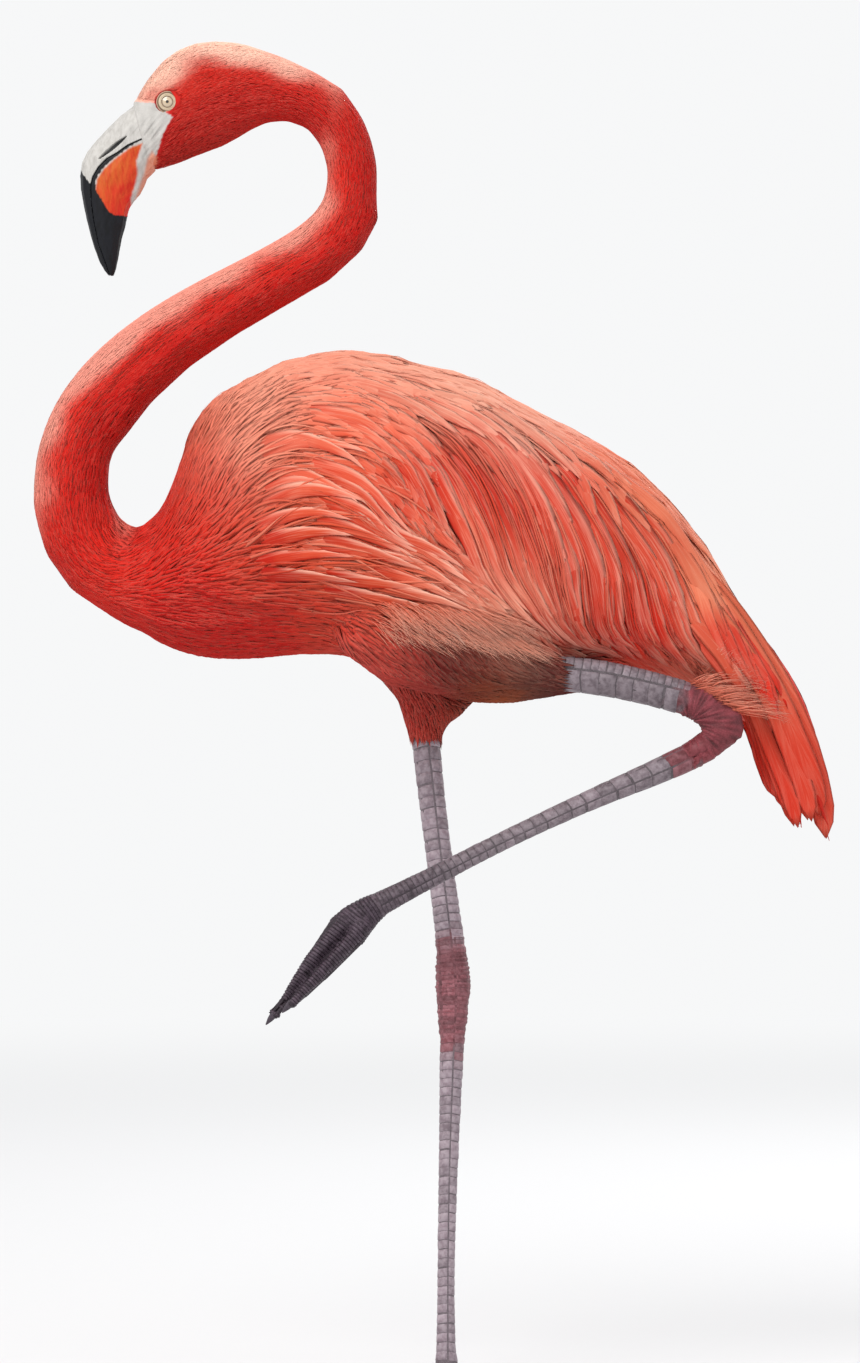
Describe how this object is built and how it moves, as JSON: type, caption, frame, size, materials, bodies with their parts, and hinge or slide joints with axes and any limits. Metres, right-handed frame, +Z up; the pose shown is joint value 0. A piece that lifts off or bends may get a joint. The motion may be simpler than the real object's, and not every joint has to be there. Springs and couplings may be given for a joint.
{
  "type": "american flamingo",
  "caption": "Life-size standing wading bird with an S-shaped neck, down-bent bill, folded wings and one leg tucked up across the other; rests on one webbed foot.",
  "frame": {"origin": "on the floor under the joint where the toes of the right, standing foot meet", "axes": "+Z up, the bird faces -X, its left side is toward -Y"},
  "size_m": [0.6384, 0.1972, 1.0791],
  "materials": {
    "plumage": "soft feathers, scarlet to salmon",
    "leg_skin": "scaled skin, grey with red joints",
    "bill": "smooth horn, pale, orange and black",
    "claw": "dark horn",
    "eye": "wet and glossy"
  },
  "bodies": {
    "root": {"head": "plumage", "eye_left": "eye", "eye_right": "eye", "bill_upper": "bill", "bill_lower": "bill", "neck_1": "plumage", "neck_2": "plumage", "neck_3": "plumage", "neck_4": "plumage", "neck_5": "plumage", "neck_6": "plumage", "trunk": "plumage", "wing_left_front": "plumage", "wing_left_rear": "plumage", "wing_right_front": "plumage", "wing_right_rear": "plumage", "tail": "plumage", "thigh_left": "plumage", "thigh_right": "plumage", "shank_left": "leg_skin", "shank_right": "leg_skin", "hock_left": "leg_skin", "hock_right": "leg_skin", "tarsus_left": "leg_skin", "tarsus_right": "leg_skin", "foot_left": "leg_skin", "foot_right": "leg_skin", "claw_left_inner": "claw", "claw_left_middle": "claw", "claw_left_outer": "claw", "claw_left_hind": "claw", "claw_right_inner": "claw", "claw_right_middle": "claw", "claw_right_outer": "claw", "claw_right_hind": "claw"}
  },
  "joints": []
}
